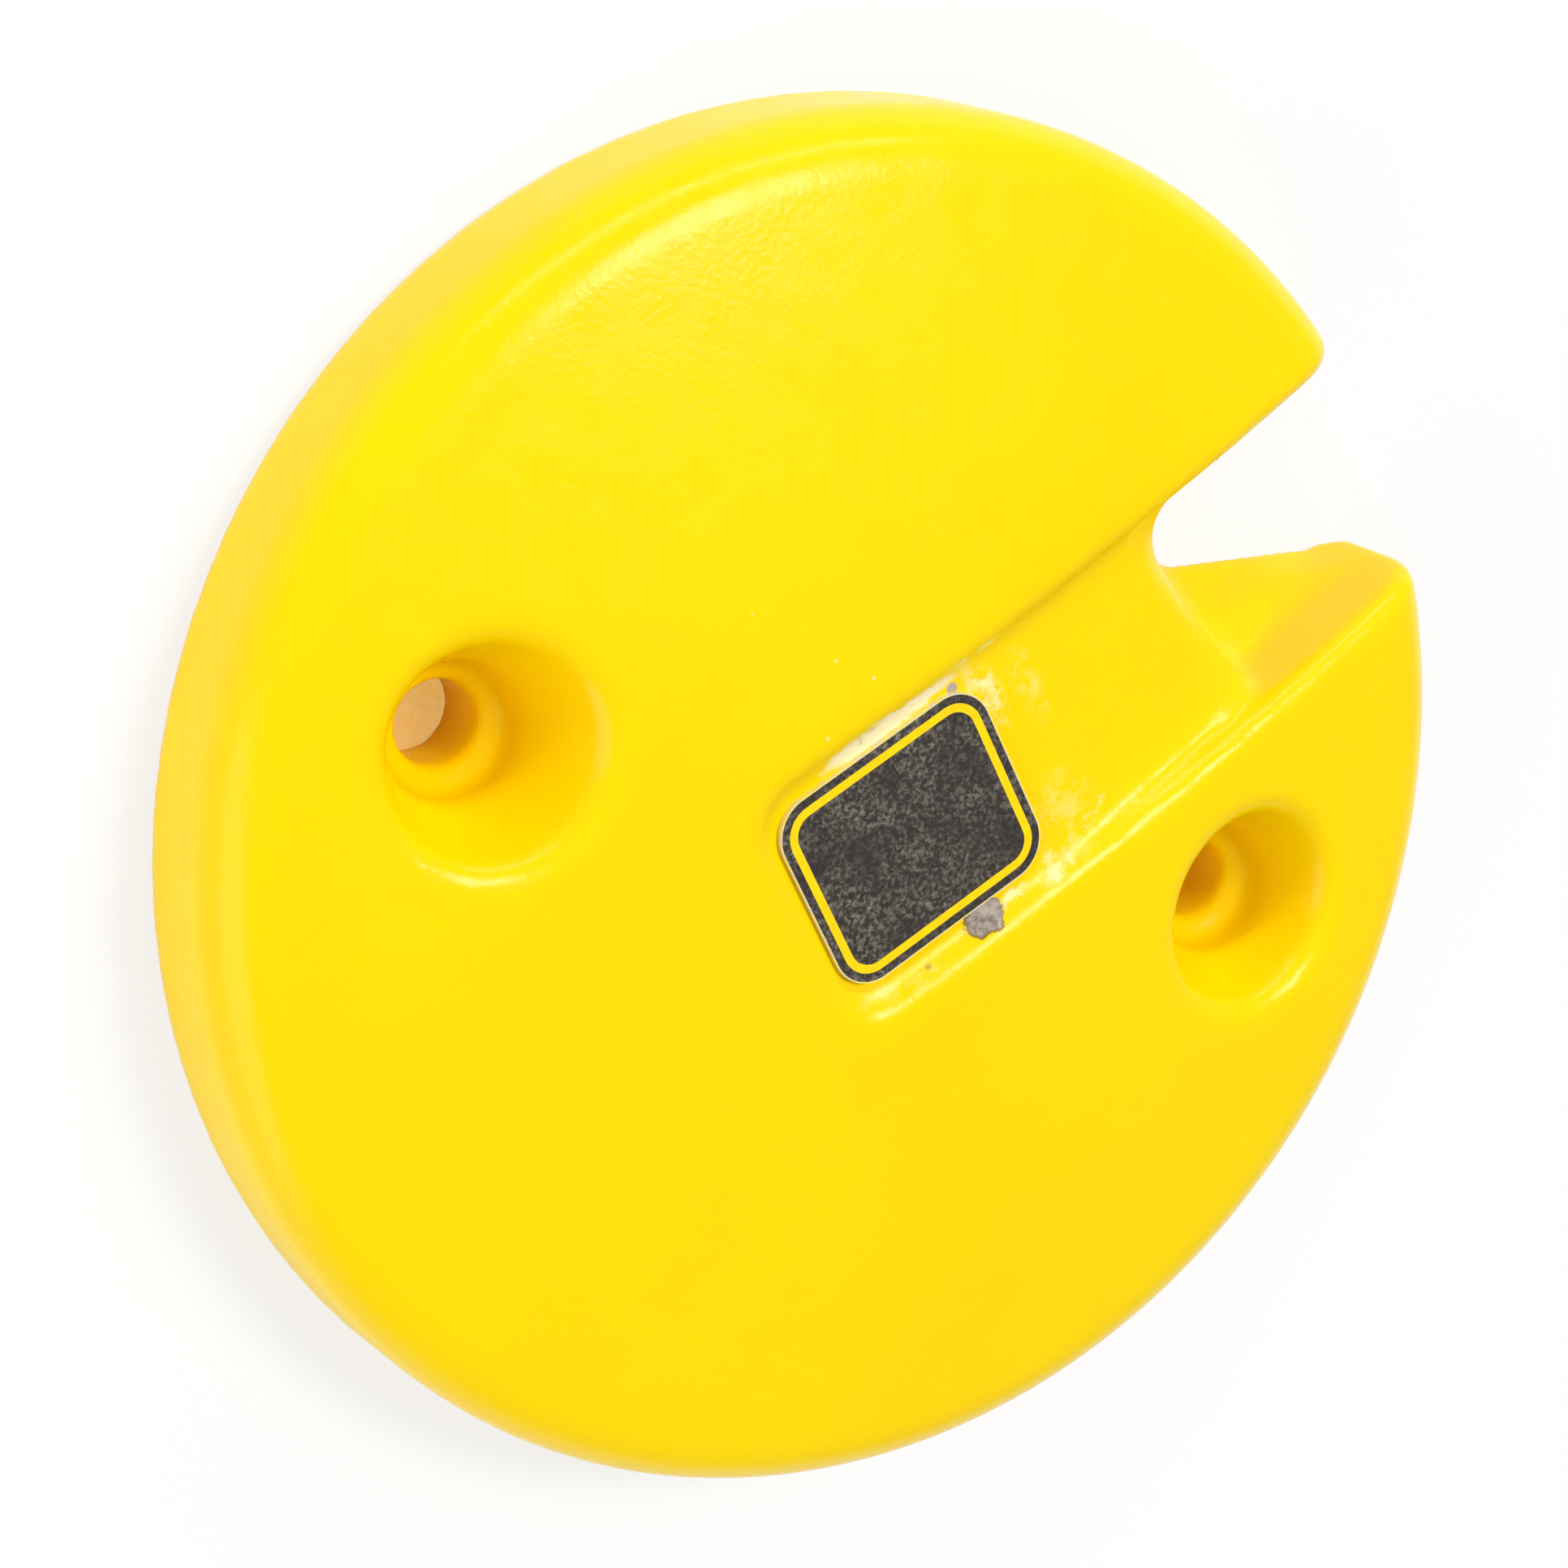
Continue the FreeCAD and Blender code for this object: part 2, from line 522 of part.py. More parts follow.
ledge_edges = edges_where(
    second_pocket,
    lambda e: abs(e.Length - math.pi * size("Sizes.pocket_bore")) < 0.01
    and abs(e.BoundBox.ZMax - size("Sizes.ledge_height")) < 0.01,
)
ledge_bevel = dress(weight, "Chamfer", "ledge_bevel", ledge_edges, "Sizes.ledge_break")
throat_edges = edges_where(
    ledge_bevel,
    lambda e: abs(e.Length - math.pi * size("Sizes.pocket_bore")) < 0.01
    and abs(e.BoundBox.ZMax - size(BORE_TOP)) < 0.01,
)
throat_rounding = dress(weight, "Fillet", "throat_rounding", throat_edges, "Sizes.throat_round")
hole_reach = size("Sizes.bolt_circle") / 2


def on_pocket_mouth(edge):
    box = edge.BoundBox
    centre = box.Center
    return (
        abs(math.hypot(centre.x, centre.y) - hole_reach) < 2
        and box.XLength > size("Sizes.pocket_bore") + 5
        and box.ZMin > size(BORE_TOP) + 3
    )


mouth_edges = edges_where(throat_rounding, on_pocket_mouth)
dress(weight, "Chamfer", "mouth_bevel", mouth_edges, "Sizes.mouth_break")

# The badge plate: a thin rounded plate that sits flat on the channel's floor
plate = doc.addObject("PartDesign::Body", "badge_plate")
plate.Label = "badge_plate"
plate_outline = sketch_on(
    plate, "plate_outline", "XY_Plane", base=("Sizes.plate_shift", "Sizes.plate_rise", FLOOR)
)
long_half = size("Sizes.plate_length / 2")
wide_half = size("Sizes.plate_width / 2")
bow = size("Sizes.plate_corner")
turns = [(1, 1, 0), (-1, 1, 1), (-1, -1, 2), (1, -1, 3)]
for sx, sy, quarter in turns:
    centre = FreeCAD.Vector(sx * (long_half - bow), sy * (wide_half - bow), 0)
    start = quarter * math.pi / 2
    corner = Part.Circle(centre, up, bow)
    plate_outline.addGeometry(Part.ArcOfCircle(corner, start, start + math.pi / 2), False)
ends = [
    ((long_half - bow, wide_half), (bow - long_half, wide_half)),
    ((-long_half, wide_half - bow), (-long_half, bow - wide_half)),
    ((bow - long_half, -wide_half), (long_half - bow, -wide_half)),
    ((long_half, bow - wide_half), (long_half, wide_half - bow)),
]
for a, b in ends:
    plate_outline.addGeometry(Part.LineSegment(FreeCAD.Vector(*a, 0), FreeCAD.Vector(*b, 0)), False)
for i in range(4):
    plate_outline.addConstraint(Sketcher.Constraint("Tangent", i, 2, 4 + i, 1))
    plate_outline.addConstraint(Sketcher.Constraint("Tangent", 4 + i, 2, (i + 1) % 4, 1))
for line, kind in ((4, "Horizontal"), (5, "Vertical"), (6, "Horizontal"), (7, "Vertical")):
    plate_outline.addConstraint(Sketcher.Constraint(kind, line))
for arc in (1, 2, 3):
    plate_outline.addConstraint(Sketcher.Constraint("Equal", 0, arc))
hold(plate_outline, "DistanceX", (-1, 1, 7, 1), "Sizes.plate_length / 2")
hold(plate_outline, "DistanceX", (-1, 1, 5, 1), "-Sizes.plate_length / 2")
hold(plate_outline, "DistanceY", (-1, 1, 4, 1), "Sizes.plate_width / 2")
hold(plate_outline, "DistanceY", (-1, 1, 6, 1), "-Sizes.plate_width / 2")
hold(plate_outline, "Radius", (0,), "Sizes.plate_corner")
plate_sheet = plate.newObject("PartDesign::Pad", "plate_sheet")
plate_sheet.Profile = plate_outline
plate_sheet.Length = size("Sizes.plate_thickness")
plate_sheet.setExpression("Length", "Sizes.plate_thickness")
doc.recompute()
plate_top = size("%s + Sizes.plate_thickness" % FLOOR)
plate_edges = edges_where(plate_sheet, lambda e: e.BoundBox.ZMin > plate_top - 0.01)
dress(plate, "Chamfer", "plate_bevel", plate_edges, "Sizes.plate_edge")

# Every object has to be sound before anything is written
doc.recompute()
for item in doc.Objects:
    if "Invalid" in item.State or "Error" in item.State:
        raise RuntimeError("%s failed: %s" % (item.Name, item.State))
os.makedirs("parts", exist_ok=True)
for body in (weight, plate):
    if body.Shape.isNull() or not body.Shape.isValid():
        raise RuntimeError("%s has no sound shape" % body.Label)
    body.Shape.exportStep("parts/%s.step" % body.Label)
    box = body.Shape.BoundBox
    reach = [round(r, 1) for r in (box.XMin, box.XMax, box.YMin, box.YMax, box.ZMin, box.ZMax)]
    print(body.Label, len(body.Shape.Solids), "solid", round(body.Shape.Volume), "mm3", reach)
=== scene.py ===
# Rear wheel weight: a cast iron disc in gloss yellow enamel, with a badge plate in its channel
import math
import bpy
import bmesh
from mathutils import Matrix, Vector


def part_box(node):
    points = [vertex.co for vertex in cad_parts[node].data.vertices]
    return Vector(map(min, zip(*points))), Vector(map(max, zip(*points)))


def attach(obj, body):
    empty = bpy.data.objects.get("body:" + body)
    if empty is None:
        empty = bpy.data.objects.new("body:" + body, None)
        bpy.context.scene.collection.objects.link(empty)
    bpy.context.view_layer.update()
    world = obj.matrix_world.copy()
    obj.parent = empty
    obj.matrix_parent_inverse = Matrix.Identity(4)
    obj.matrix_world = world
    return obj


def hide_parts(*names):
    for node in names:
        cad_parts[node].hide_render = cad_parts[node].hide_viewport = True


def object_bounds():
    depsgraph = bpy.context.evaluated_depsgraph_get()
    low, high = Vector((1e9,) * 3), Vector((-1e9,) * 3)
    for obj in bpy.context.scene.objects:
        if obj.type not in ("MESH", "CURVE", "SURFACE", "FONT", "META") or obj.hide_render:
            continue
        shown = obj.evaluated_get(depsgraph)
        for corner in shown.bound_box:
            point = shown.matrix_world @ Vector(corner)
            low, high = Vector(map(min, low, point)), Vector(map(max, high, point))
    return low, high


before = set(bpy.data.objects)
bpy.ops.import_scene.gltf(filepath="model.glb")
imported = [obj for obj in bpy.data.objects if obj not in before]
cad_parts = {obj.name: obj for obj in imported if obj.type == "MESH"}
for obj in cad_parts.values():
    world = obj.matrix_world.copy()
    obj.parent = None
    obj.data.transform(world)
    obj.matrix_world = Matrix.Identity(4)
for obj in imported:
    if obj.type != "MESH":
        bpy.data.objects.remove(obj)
cad_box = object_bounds()
MM = 0.001

# Sizes are in millimetres unless a comment says otherwise

# The casting's soft skin: bevel of its sharp edges, mesh width, and smoothing steps for
# the whole skin, for the outer edge of the back and for the roll into the notch
SHARP_EDGE = math.radians(60)
SHARP_EDGE_BEVEL = 1.6
SKIN_WIDTH = 1.45
SKIN_STEPS = 8
BACK_EDGE_STEPS = 16
ROLL_STEPS = 40

# The outer edge of the back is what lies below this height and past this radius
BACK_EDGE_HEIGHT = 6
BACK_EDGE_RADIUS = 137

# The roll into the notch: its middle and half length along X, half width along Y, and heights
ROLL_MIDDLE = 88
ROLL_HALF_LENGTH = 13
ROLL_HALF_WIDTH = 25
ROLL_HEIGHTS = (18, 45)

# The web in the notch's near corner: its outline on the channel's floor, and how its foot lies
WEB_OUTLINE = ((74, 29), (74, 15), (81.5, 14.5), (83.5, 18), (86, 19.8), (90, 21), (97, 22.3),
               (108, 23.5), (108, 29))
WEB_TOP = 34.5
WEB_TO_FOOT = (-4, 9, -28)

# The badge: its corners, and its bands from the edge inwards as width and material
BADGE_CORNER = 8.5
INK, LINE, RIM = 0, 1, 2
BADGE_BANDS = ((0.3, RIM), (0.25, INK), (1.5, INK), (0.25, LINE), (1.3, LINE), (0.25, LINE))

# Centres of the two bolt holes
BOLT_HOLES = ((66.5, -66.5), (-66.5, 66.5))

# How far each lamp stands from the weight, in metres
LAMP_DISTANCE = 2.0

# The photograph's camera: lens, place in metres and turn in degrees
PHOTO_LENS = 89.4156
PHOTO_PLACE = (-0.24721705, 0.37940748, 0.66569268)
PHOTO_TURN = (-16.5696976, -30.1815031, -26.3914494)


def linear(code):
    """An sRGB hex colour as the linear RGBA that Blender takes."""
    parts = [int(code[i:i + 2], 16) / 255 for i in (1, 3, 5)]
    return tuple(p / 12.92 if p <= 0.04045 else ((p + 0.055) / 1.055) ** 2.4 for p in parts) + (1.0,)


def add(tree, kind, settings=None, links=None):
    """A node with its settings and links. A hex colour goes to a socket; a link is a node or an output."""
    node = tree.nodes.new(kind)
    for name, value in (settings or {}).items():
        if isinstance(name, int) or name in node.inputs:
            node.inputs[name].default_value = linear(value) if isinstance(value, str) else value
        else:
            setattr(node, name, value)
    for name, source in (links or {}).items():
        if isinstance(source, bpy.types.Node):
            source = next(out for out in source.outputs if out.enabled)
        tree.links.new(source, node.inputs[name])
    return node


def new_material(name, settings):
    """An empty material with a surface shader, that shader and the place on the piece."""
    made = bpy.data.materials.new(name)
    made.use_nodes = True
    tree = made.node_tree
    tree.nodes.clear()
    shader = add(tree, "ShaderNodeBsdfPrincipled", settings)
    add(tree, "ShaderNodeOutputMaterial", None, {"Surface": shader})
    return made, tree, shader, add(tree, "ShaderNodeTexCoord").outputs["Object"]


def marks(tree, place, spots):
    """A mask that is 1 inside any of some ovals: centre, half sizes, turn in degrees and soft edge."""
    joined = None
    for centre, half, turn, edge in spots:
        local = add(tree, "ShaderNodeMapping", {
            "vector_type": "TEXTURE",
            "Location": [c * MM for c in centre],
            "Rotation": (0, 0, math.radians(turn)),
            "Scale": [h * MM for h in half],
        }, {"Vector": place})
        away = add(tree, "ShaderNodeVectorMath", {"operation": "LENGTH"}, {0: local})
        oval = add(tree, "ShaderNodeMapRange", {
            "interpolation_type": "SMOOTHSTEP",
            "From Min": 1 + edge, "From Max": 1 - edge,
        }, {"Value": away})
        if joined is None:
            joined = oval
        else:
            joined = add(tree, "ShaderNodeMath", {"operation": "MAXIMUM"}, {0: joined, 1: oval})
    return joined


# Gloss chassis enamel over a sand casting: a strong clean yellow with a faint orange peel.
# Round the badge it has rubbed to a chalky cream, and one chip shows bare grey iron.
def gloss_enamel():
    made, tree, shader, where = new_material("gloss_enamel_on_cast_iron", {
        "IOR": 1.48, "Specular IOR Level": 0.17,
    })
    # ragged edges come from a small wander of the place before the masks are taken
    wander = add(tree, "ShaderNodeTexNoise", {"Scale": 1 / (4 * MM), "Detail": 4.0, "Roughness": 0.65},
                 {"Vector": where})
    centred = add(tree, "ShaderNodeVectorMath", {"operation": "SUBTRACT", 1: (0.5, 0.5, 0.5)},
                  {0: wander.outputs["Color"]})
    ragged = add(tree, "ShaderNodeVectorMath", {"operation": "MULTIPLY_ADD", 1: (6 * MM,) * 3},
                 {0: centred, 2: where})

    rubbed = marks(tree, ragged, [
        ((28.5, 17, 44), (3, 7, 5), 15, 0.5),
        ((27, -25, 44), (5, 2.5, 5), 20, 0.4),
        ((14, -24.6, 44), (5, 1.0, 5), 0, 0.4),
        ((40, -21, 44), (4, 1.2, 5), 15, 0.5),
        ((27, 26.6, 47), (8, 0.6, 4), 0, 0.5),
    ])
    cloudy = marks(tree, ragged, [
        ((38, 12.5, 44), (3, 7, 5), 0, 0.6),
        ((33, -17, 44), (7, 8, 5), 0, 0.6),
        ((-13.5, -26.4, 44), (10, 1.8, 5), -13, 0.6),
        ((48, -24.3, 44), (9, 0.8, 5), 0, 0.5),
    ])
    strip = marks(tree, ragged, [((6.5, 24.8, 45), (16.5, 2.3, 4), 0, 0.2)])
    chip_edge = marks(tree, ragged, [((7.4, -25.2, 44), (5.3, 3.6, 4), -8, 0.08)])
    chip = marks(tree, ragged, [((7.8, -25.0, 44), (4.9, 3.1, 4), -8, 0.1)])
    dot = marks(tree, where, [((21.9, 22.4, 44.5), (1.3, 1.3, 3), 0, 0.2)])
    pale_specks = marks(tree, where, [
        (centre, (0.4, 0.4, 3), 0, 0.5) for centre in (
            (1.0, 44.0, 48), (-7.6, 31.4, 48), (6.4, 36.4, 48),
            (-11.1, 73.5, 48), (-9.8, 61.9, 48), (-6.4, -92.1, 48))
    ])
    dark_speck = marks(tree, where, [((-8.1, -25.8, 44), (0.8, 0.6, 3), 0, 0.5)])

    # the rubbed paint breaks up in streaks, with darker bits where it is worn deepest
    broken = add(tree, "ShaderNodeTexNoise", {"Scale": 1 / (4.5 * MM), "Detail": 5.0, "Roughness": 0.7},
                 {"Vector": where})
    streaks = add(tree, "ShaderNodeMapRange", {"From Min": 0.44, "From Max": 0.6}, {"Value": broken})
    bits = add(tree, "ShaderNodeMapRange", {"From Min": 0.58, "From Max": 0.68}, {"Value": broken})
    worn = add(tree, "ShaderNodeMath", {"operation": "MULTIPLY"}, {0: rubbed, 1: streaks})
    haze = add(tree, "ShaderNodeMath", {"operation": "MULTIPLY"}, {0: cloudy, 1: streaks})
    faint = add(tree, "ShaderNodeMath", {"operation": "MULTIPLY", 1: 0.3}, {0: haze})

    mottle = add(tree, "ShaderNodeTexNoise", {"Scale": 1 / (60 * MM), "Detail": 3.0}, {"Vector": where})
    spread = add(tree, "ShaderNodeMapRange", {"From Min": 0.3, "From Max": 0.7}, {"Value": mottle})
    paint = add(tree, "ShaderNodeMix", {"data_type": "RGBA", 6: "#FFD600", 7: "#FFDB00"},
                {"Factor": spread})
    primer = add(tree, "ShaderNodeMix", {"data_type": "RGBA", 6: "#FFF1C0", 7: "#B99D68"},
                 {"Factor": bits})
    iron = add(tree, "ShaderNodeMix", {"data_type": "RGBA", 6: "#B9ACA0", 7: "#7C6F65"},
               {"Factor": streaks})
    for mask, colour in (
            (faint, "#FBF0A0"), (worn, "#FBF0A0"), (strip, primer), (pale_specks, "#F4E68C"),
            (dark_speck, "#D2A93C"), (chip_edge, "#8A6A2C"), (chip, iron), (dot, "#B7A99F")):
        layer = add(tree, "ShaderNodeMix", {"data_type": "RGBA"}, {"Factor": mask, 6: paint})
        if isinstance(colour, str):
            layer.inputs[7].default_value = linear(colour)
        else:
            tree.links.new(colour.outputs[2], layer.inputs[7])
        paint = layer
    tree.links.new(paint.outputs[2], shader.inputs["Base Color"])

    matt = add(tree, "ShaderNodeMath", {"operation": "MAXIMUM"}, {0: worn, 1: strip})
    bare = add(tree, "ShaderNodeMath", {"operation": "MAXIMUM"}, {0: matt, 1: chip})
    orange = add(tree, "ShaderNodeTexNoise", {"Scale": 1 / (8 * MM), "Detail": 2.0}, {"Vector": where})
    peel = add(tree, "ShaderNodeMapRange", {
        "From Min": 0.3, "From Max": 0.7, "To Min": 0.18, "To Max": 0.28,
    }, {"Value": orange})
    dull = add(tree, "ShaderNodeMix", {"data_type": "FLOAT", "B": 0.6}, {"Factor": bare, "A": peel})
    tree.links.new(dull.outputs[0], shader.inputs["Roughness"])

    # orange peel about 1.4 mm across lies over cast lumps about 9 mm across, both around 0.1 mm high
    grain = add(tree, "ShaderNodeTexNoise", {"Scale": 1 / (1.4 * MM), "Detail": 3.0}, {"Vector": where})
    sand = add(tree, "ShaderNodeTexNoise", {"Scale": 1 / (9 * MM), "Detail": 2.0}, {"Vector": where})
    fine = add(tree, "ShaderNodeBump", {"Strength": 0.45, "Distance": 0.16 * MM}, {"Height": grain})
    lumps = add(tree, "ShaderNodeBump", {"Strength": 0.5, "Distance": 0.25 * MM},
                {"Height": sand, "Normal": fine})
    sunk = add(tree, "ShaderNodeBump", {"Strength": 0.7, "Distance": 0.2 * MM, "invert": True},
               {"Height": bare, "Normal": lumps})
    tree.links.new(sunk.outputs[0], shader.inputs["Normal"])
    return made


# Black screen ink on the stamped aluminium badge: nearly black, satin, with a fine dusty scuffing
def badge_ink():
    made, tree, shader, where = new_material("black_ink_on_aluminium", {
        "IOR": 1.5, "Specular IOR Level": 0.3,
    })
    fine = add(tree, "ShaderNodeTexNoise", {"Scale": 1 / (1.0 * MM), "Detail": 5.0, "Roughness": 0.75},
               {"Vector": where})
    wide = add(tree, "ShaderNodeTexNoise", {"Scale": 1 / (12 * MM), "Detail": 3.0}, {"Vector": where})
    dust = add(tree, "ShaderNodeMapRange", {"From Min": 0.46, "From Max": 0.68}, {"Value": fine})
    cloud = add(tree, "ShaderNodeMapRange", {"From Min": 0.3, "From Max": 0.6}, {"Value": wide})
    dusty = add(tree, "ShaderNodeMath", {"operation": "MULTIPLY"}, {0: dust, 1: cloud})
    ink = add(tree, "ShaderNodeMix", {"data_type": "RGBA", 6: "#342E29", 7: "#8E867A"},
              {"Factor": dusty})
    tree.links.new(ink.outputs[2], shader.inputs["Base Color"])
    satin = add(tree, "ShaderNodeMapRange", {"To Min": 0.38, "To Max": 0.6}, {"Value": dust})
    tree.links.new(satin.outputs[0], shader.inputs["Roughness"])
    return made


# The badge's yellow ink: a plain even yellow line, satin
def badge_line():
    made, tree, shader, where = new_material("yellow_ink_on_aluminium", {
        "IOR": 1.5, "Specular IOR Level": 0.25, "Roughness": 0.4,
    })
    soft = add(tree, "ShaderNodeTexNoise", {"Scale": 1 / (3 * MM), "Detail": 3.0}, {"Vector": where})
    spread = add(tree, "ShaderNodeMapRange", {"From Min": 0.35, "From Max": 0.7}, {"Value": soft})
    shade = add(tree, "ShaderNodeMix", {"data_type": "RGBA", 6: "#FFD200", 7: "#FFDC00"},
                {"Factor": spread})
    tree.links.new(shade.outputs[2], shader.inputs["Base Color"])
    return made


# The badge's bare rim: aged cream lacquer over the aluminium's cut edge
def badge_rim():
    made, tree, shader, where = new_material("aged_lacquer_on_cut_edge", {"IOR": 1.5, "Roughness": 0.5})
    soft = add(tree, "ShaderNodeTexNoise", {"Scale": 1 / (2 * MM), "Detail": 3.0}, {"Vector": where})
    spread = add(tree, "ShaderNodeMapRange", {"From Min": 0.4, "From Max": 0.65}, {"Value": soft})
    shade = add(tree, "ShaderNodeMix", {"data_type": "RGBA", 6: "#F3DF6A", 7: "#DCD2BE"},
                {"Factor": spread})
    tree.links.new(shade.outputs[2], shader.inputs["Base Color"])
    return made


def put(name, built, materials, node):
    """A finished bmesh as a piece of the object that stands for a CAD node."""
    mesh = bpy.data.meshes.new(name)
    built.to_mesh(mesh)
    built.free()
    piece = bpy.data.objects.new(name, mesh)
    bpy.context.scene.collection.objects.link(piece)
    for item in materials:
        mesh.materials.append(item)
    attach(piece, "root")
    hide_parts(node)


def soften(built, chosen, steps):
    """Evens out the chosen points, a little in each step."""
    for step in range(steps):
        bmesh.ops.smooth_vert(built, verts=chosen, factor=0.5,
                              use_axis_x=True, use_axis_y=True, use_axis_z=True)


# The notch's near corner is filled by a rounded web that runs out down the wall
def notch_web(built):
    cap = built.faces.new([built.verts.new((x * MM, y * MM, WEB_TOP * MM)) for x, y in WEB_OUTLINE])
    drawn = bmesh.ops.extrude_face_region(built, geom=[cap])
    foot = [g for g in drawn["geom"] if isinstance(g, bmesh.types.BMVert)]
    bmesh.ops.translate(built, vec=[d * MM for d in WEB_TO_FOOT], verts=foot)
    sides = {face for vert in foot for face in vert.link_faces}
    bmesh.ops.recalc_face_normals(built, faces=list(sides | {cap}))


# The casting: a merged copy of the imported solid, with the soft edges of sand moulding and thick paint
def casting():
    built = bmesh.new()
    built.from_mesh(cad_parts["cast_weight"].data)
    bmesh.ops.remove_doubles(built, verts=built.verts, dist=0.002 * MM)
    corners = [e for e in built.edges if e.is_convex and e.calc_face_angle(0.0) > SHARP_EDGE]
    bmesh.ops.bevel(built, geom=corners, offset=SHARP_EDGE_BEVEL * MM, offset_type="OFFSET",
                    segments=3, profile=0.5, affect="EDGES", material=-1)
    notch_web(built)
    pattern = bpy.data.meshes.new("casting_pattern")
    built.to_mesh(pattern)
    built.free()
    mould = bpy.data.objects.new("casting_pattern", pattern)
    bpy.context.scene.collection.objects.link(mould)
    even = mould.modifiers.new("even_skin", "REMESH")
    even.mode = "VOXEL"
    even.voxel_size = SKIN_WIDTH * MM
    skin = bpy.data.meshes.new_from_object(mould.evaluated_get(bpy.context.evaluated_depsgraph_get()))
    bpy.data.objects.remove(mould)
    built = bmesh.new()
    built.from_mesh(skin)
    soften(built, built.verts[:], SKIN_STEPS)
    # the outer back edge runs true, and the channel's floor rolls over into the notch without a line
    back_edge = [v for v in built.verts if v.co.z < BACK_EDGE_HEIGHT * MM
                 and v.co.xy.length > BACK_EDGE_RADIUS * MM]
    soften(built, back_edge, BACK_EDGE_STEPS)
    low, high = ROLL_HEIGHTS
    roll = [v for v in built.verts if abs(v.co.x - ROLL_MIDDLE * MM) < ROLL_HALF_LENGTH * MM
            and abs(v.co.y) < ROLL_HALF_WIDTH * MM and low * MM < v.co.z < high * MM]
    soften(built, roll, ROLL_STEPS)
    for face in built.faces:
        face.smooth = True
    put("casting", built, [gloss_enamel()], "cast_weight")


# The stamped badge: a black border, a yellow line and a bare black field
def badge():
    low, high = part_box("badge_plate")
    middle = (low + high) / 2
    wide, tall, thick = high - low
    built = bmesh.new()
    bmesh.ops.create_grid(built, x_segments=1, y_segments=1, size=0.5)
    bmesh.ops.scale(built, vec=(wide, tall, 1), verts=built.verts)
    bmesh.ops.bevel(built, geom=built.verts[:], offset=BADGE_CORNER * MM, offset_type="OFFSET",
                    segments=14, profile=0.5, affect="VERTICES", material=-1)
    face = next(iter(built.faces))
    face.normal_update()
    if face.normal.z < 0:
        bmesh.ops.reverse_faces(built, faces=[face])
    raised = bmesh.ops.extrude_face_region(built, geom=[face])
    top = [g for g in raised["geom"] if isinstance(g, bmesh.types.BMFace)][0]
    bmesh.ops.translate(built, vec=(0, 0, thick), verts=top.verts)
    for wall in built.faces:
        wall.material_index = RIM
    for width, material in BADGE_BANDS:
        ring = bmesh.ops.inset_region(built, faces=[top], thickness=width * MM, use_even_offset=True)
        for part in ring["faces"]:
            part.material_index = material
    top.material_index = INK
    bmesh.ops.translate(built, vec=(middle.x, middle.y, low.z), verts=built.verts)
    put("badge_stamped", built, [badge_ink(), badge_line(), badge_rim()], "badge_plate")


# White studio card: an even white to the eye, that still takes the weight's soft shadow.
# Under the two bolt holes a mottled warm colour, in both its base colour and its glow, is painted light:
# the warm, rough daylight that the bores let through.
def studio_card():
    made, tree, shader, where = new_material("white_studio_card", {"Roughness": 0.9})
    output = [n for n in tree.nodes if n.bl_idname == "ShaderNodeOutputMaterial"][0]
    # where the painted light goes: soft round patches on the card under the two bolt holes
    painted_light_under_holes = marks(tree, where, [((x, y, 0), (14, 14, 90), 0, 0.2) for x, y in BOLT_HOLES])
    rough = add(tree, "ShaderNodeTexNoise", {"Scale": 1 / (3 * MM), "Detail": 4.0, "Roughness": 0.7},
                {"Vector": where})
    # painted light: a mottled warm colour in place of the dim, yellow-lit floor seen through the bores
    painted_warm_bore_light = add(tree, "ShaderNodeMix", {"data_type": "RGBA", 6: "#EBA828", 7: "#F2C88A"},
               {"Factor": rough})
    card = add(tree, "ShaderNodeMix", {"data_type": "RGBA", 6: "#F4F4F4"}, {"Factor": painted_light_under_holes, 7: painted_warm_bore_light})
    tree.links.new(card.outputs[2], shader.inputs["Base Color"])
    rays = add(tree, "ShaderNodeLightPath")
    gloss = add(tree, "ShaderNodeMath", {"operation": "MULTIPLY", 1: 0.35},
                {0: rays.outputs["Is Glossy Ray"]})
    seen = add(tree, "ShaderNodeMath", {"operation": "MAXIMUM"},
               {0: rays.outputs["Is Camera Ray"], 1: gloss})
    share = add(tree, "ShaderNodeMath", {"operation": "MULTIPLY", 1: 0.75}, {0: seen})
    # the glow carries the same painted warm light under the holes, and plain white elsewhere
    glow_with_painted_bore_light = add(tree, "ShaderNodeMix", {"data_type": "RGBA", 6: "#FFFFFF"}, {"Factor": painted_light_under_holes, 7: painted_warm_bore_light})
    glow = add(tree, "ShaderNodeEmission", {"Strength": 1.0}, {"Color": glow_with_painted_bore_light})
    mixed = add(tree, "ShaderNodeMixShader", None, {0: share, 1: shader, 2: glow})
    tree.links.new(mixed.outputs[0], output.inputs["Surface"])
    return made


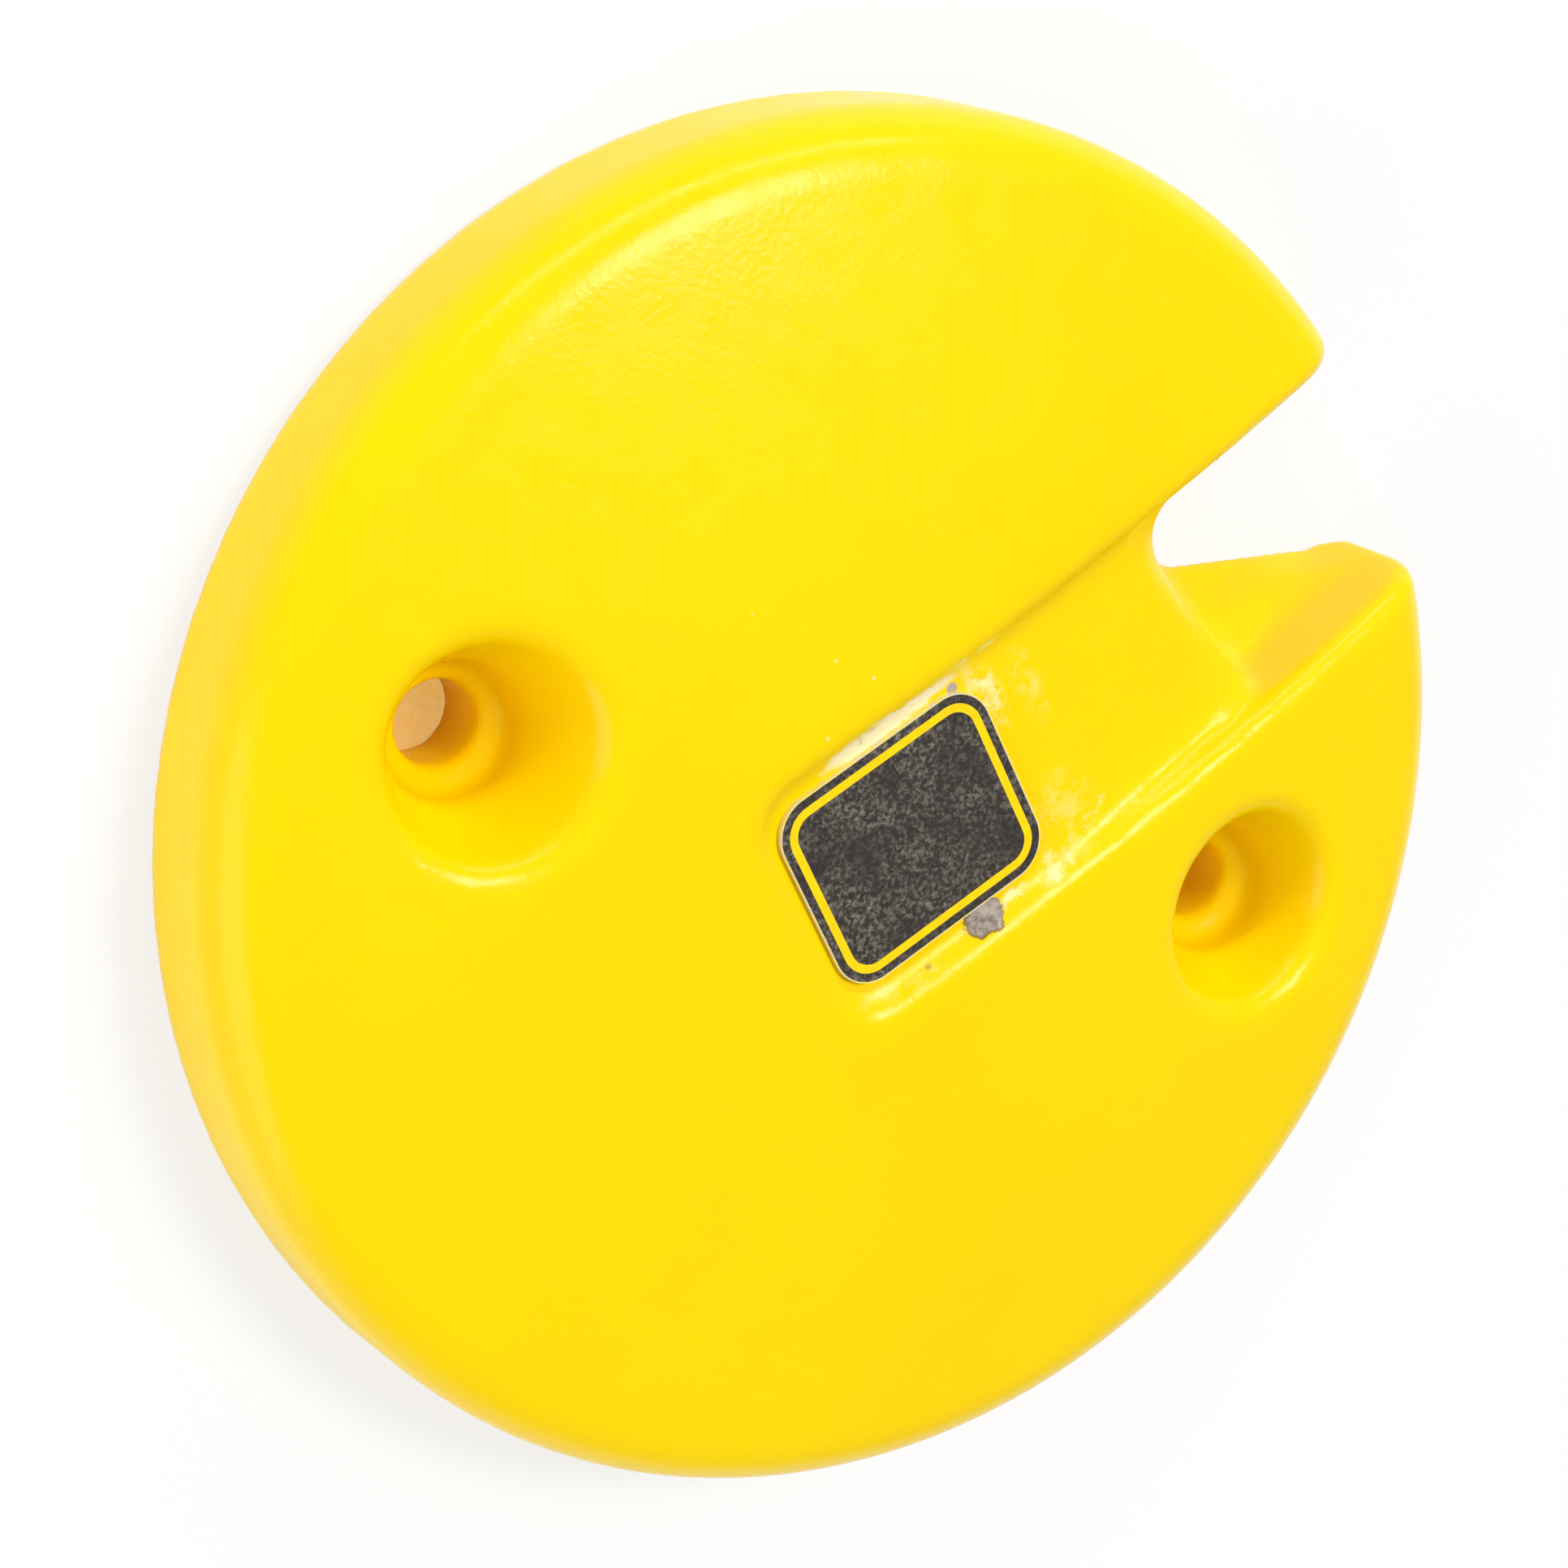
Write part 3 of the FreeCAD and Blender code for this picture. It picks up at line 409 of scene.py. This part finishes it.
def studio():
    """The floor that the weight lies on."""
    sheet = bmesh.new()
    bmesh.ops.create_grid(sheet, x_segments=1, y_segments=1, size=4.0)
    bmesh.ops.translate(sheet, vec=(0, 0, cad_box[0][2] - 0.2 * MM), verts=sheet.verts)
    mesh = bpy.data.meshes.new("studio_floor")
    sheet.to_mesh(mesh)
    sheet.free()
    mesh.materials.append(studio_card())
    floor = bpy.data.objects.new("studio_floor", mesh)
    bpy.context.scene.collection.objects.link(floor)


def lamp(name, kind, strength, azimuth, height, size, tall=0.0):
    """A lamp aimed at the weight: azimuth 0 is in front (-Y) and 90 to the right (+X), in degrees.

    An area lamp's size and tall are in metres, and a sun's size is its angle in degrees.
    """
    data = bpy.data.lights.new(name, kind)
    data.energy = strength
    if kind == "AREA":
        data.shape = "RECTANGLE"
        data.size = size
        data.size_y = tall
    else:
        data.angle = math.radians(size)
    turn, lift = math.radians(azimuth), math.radians(height)
    back = Vector((math.sin(turn) * math.cos(lift), -math.cos(turn) * math.cos(lift), math.sin(lift)))
    item = bpy.data.objects.new(name, data)
    item.location = back * LAMP_DISTANCE
    item.rotation_euler = back.to_track_quat("Z", "Y").to_euler()
    bpy.context.scene.collection.objects.link(item)


def lights():
    lamp("back_softbox", "AREA", 12, 148, 26, 2.0, 0.08)
    lamp("high_key", "SUN", 1.9, 112, 62, 20)
    lamp("low_fill", "SUN", 2.0, -95, 8, 60)
    world = bpy.data.worlds.new("pale_room")
    world.use_nodes = True
    world.node_tree.nodes["Background"].inputs["Color"].default_value = (1, 1, 1, 1)
    world.node_tree.nodes["Background"].inputs["Strength"].default_value = 0.34
    bpy.context.scene.world = world


def camera():
    data = bpy.data.cameras.new("photo_view")
    data.sensor_width = 36
    data.lens = PHOTO_LENS
    item = bpy.data.objects.new("photo_view", data)
    item.location = PHOTO_PLACE
    item.rotation_euler = [math.radians(a) for a in PHOTO_TURN]
    bpy.context.scene.collection.objects.link(item)
    bpy.context.scene.camera = item


casting()
badge()
studio()
lights()
camera()
bpy.context.scene.view_settings.view_transform = "Standard"
